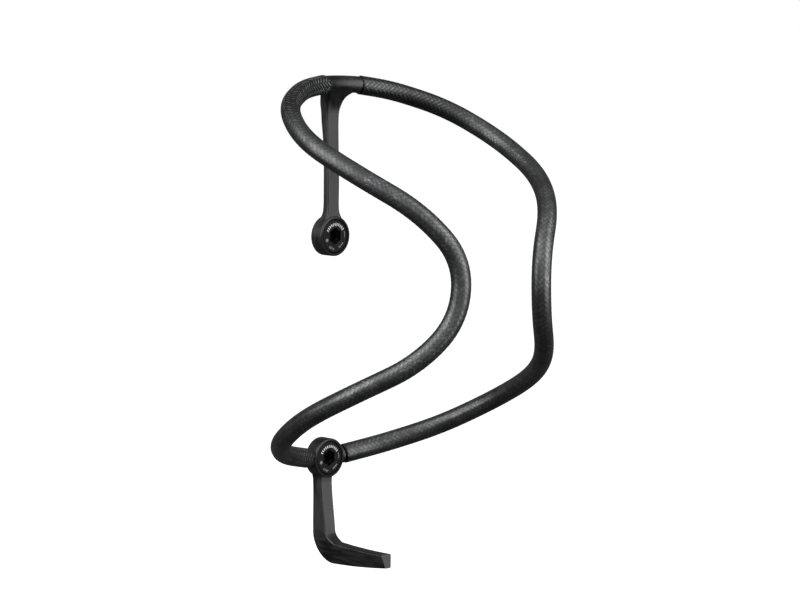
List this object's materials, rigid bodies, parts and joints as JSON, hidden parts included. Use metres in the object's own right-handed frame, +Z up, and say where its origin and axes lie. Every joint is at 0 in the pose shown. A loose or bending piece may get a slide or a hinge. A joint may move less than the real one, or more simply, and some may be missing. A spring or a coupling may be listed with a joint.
{
  "type": "bottle cage",
  "caption": "Tubular carbon bicycle bottle cage: two bent tubes wrap the bottle, moulded brackets with bolt eyes join them, and a short foot carries its base.",
  "frame": {"origin": "midway between the two bolt holes, in the plane where the eyes rest on the bicycle frame", "axes": "+X to the right seen from the bottle side, -Y towards the bottle, +Y towards the bicycle frame, +Z up along the bottle"},
  "size_m": [0.0798, 0.0756, 0.14],
  "materials": {
    "braided_carbon": "satin clear coat over a fine braid",
    "moulded_carbon": "satin",
    "adhesive": "matte",
    "black_bolt": "black anodised, with white printed marks on the head"
  },
  "bodies": {
    "cage": {"right_arm_tube": "braided_carbon", "left_arm_tube": "braided_carbon", "upper_bracket": "moulded_carbon", "lower_bracket": "moulded_carbon", "upper_right_bond": "adhesive", "upper_left_bond": "adhesive", "lower_right_bond": "adhesive", "lower_left_bond": "adhesive"},
    "upper_bolt": {"upper_bolt": "black_bolt"},
    "lower_bolt": {"lower_bolt": "black_bolt"}
  },
  "joints": [
    {"name": "upper_bolt_turn", "type": "hinge", "parent": "cage", "child": "upper_bolt", "pos_m": [0, 0, 0.032], "axis": [0, 1, 0], "continuous": true},
    {"name": "lower_bolt_turn", "type": "hinge", "parent": "cage", "child": "lower_bolt", "pos_m": [0, 0, -0.032], "axis": [0, 1, 0], "continuous": true}
  ]
}
